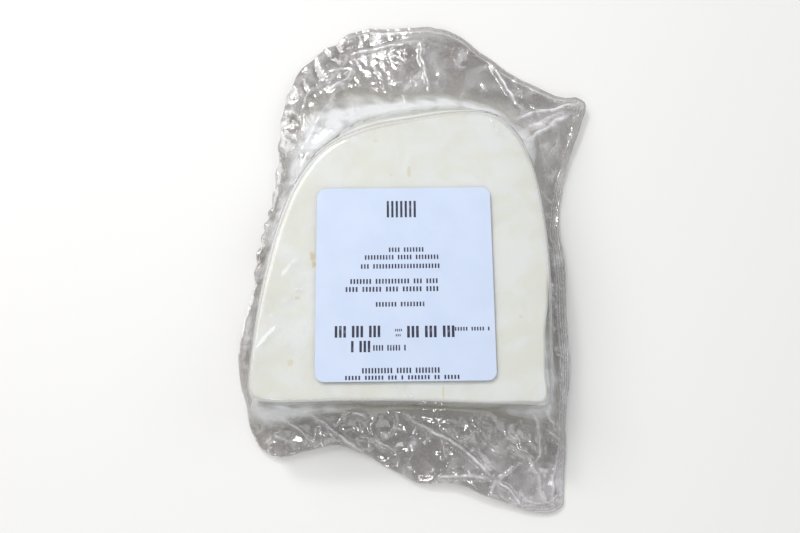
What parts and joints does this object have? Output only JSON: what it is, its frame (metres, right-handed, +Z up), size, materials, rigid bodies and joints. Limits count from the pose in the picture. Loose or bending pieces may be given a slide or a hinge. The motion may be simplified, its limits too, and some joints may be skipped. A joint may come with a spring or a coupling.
{
  "type": "feta cheese in a sealed film bag",
  "caption": "Arch-shaped block of feta cheese, sealed in a clear crumpled film bag that spreads round it as a flat skirt, with a paper scale label on its top face.",
  "frame": {"origin": "on the surface that the bag lies on, under the middle of the bounding box", "axes": "+X to the right of the label, +Y from the block's straight side to its rounded end, +Z up"},
  "size_m": [0.126, 0.1794, 0.0286],
  "materials": {
    "film": "clear, thin and glossy, crumpled, with bright glints on its folds",
    "label_paper": "thermal paper, bluish white, slightly satin",
    "cheese": "moist curd, cream white, soft satin",
    "whey": "thin milky liquid, half clear",
    "label_ink": "thermal print, matt navy black"
  },
  "bodies": {
    "root": {"bag": "film", "label": "label_paper"}
  },
  "joints": []
}
